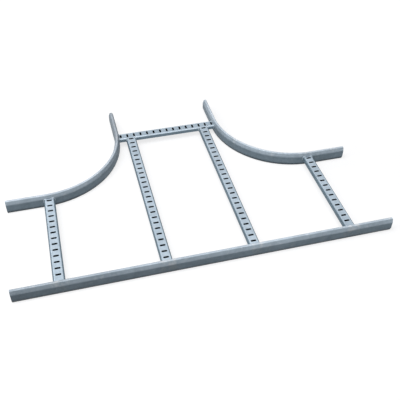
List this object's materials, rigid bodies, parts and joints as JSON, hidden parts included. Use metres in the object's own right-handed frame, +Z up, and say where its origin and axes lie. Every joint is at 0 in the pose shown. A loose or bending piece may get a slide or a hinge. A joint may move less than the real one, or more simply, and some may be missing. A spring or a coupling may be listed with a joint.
{
  "type": "cable tray tee",
  "caption": "Flat ladder-type cable tray tee: a straight tubular side rail, side rails that curve into the branch, and slotted tubular rungs between them.",
  "frame": {"origin": "middle of the straight rail's underside, on the centre line of the branch", "axes": "+X along the straight rail, +Y towards the branch, +Z up, out of the side that the cables are laid in from"},
  "size_m": [1.2, 0.798, 0.05],
  "materials": {
    "rail_steel": "galvanised, satin",
    "rung_steel": "galvanised, satin"
  },
  "bodies": {
    "root": {"straight_rail": "rail_steel", "curved_rail_left": "rail_steel", "curved_rail_right": "rail_steel", "end_rung_left": "rung_steel", "end_rung_right": "rung_steel", "long_rung_left": "rung_steel", "long_rung_right": "rung_steel", "cross_rung": "rung_steel"}
  },
  "joints": []
}
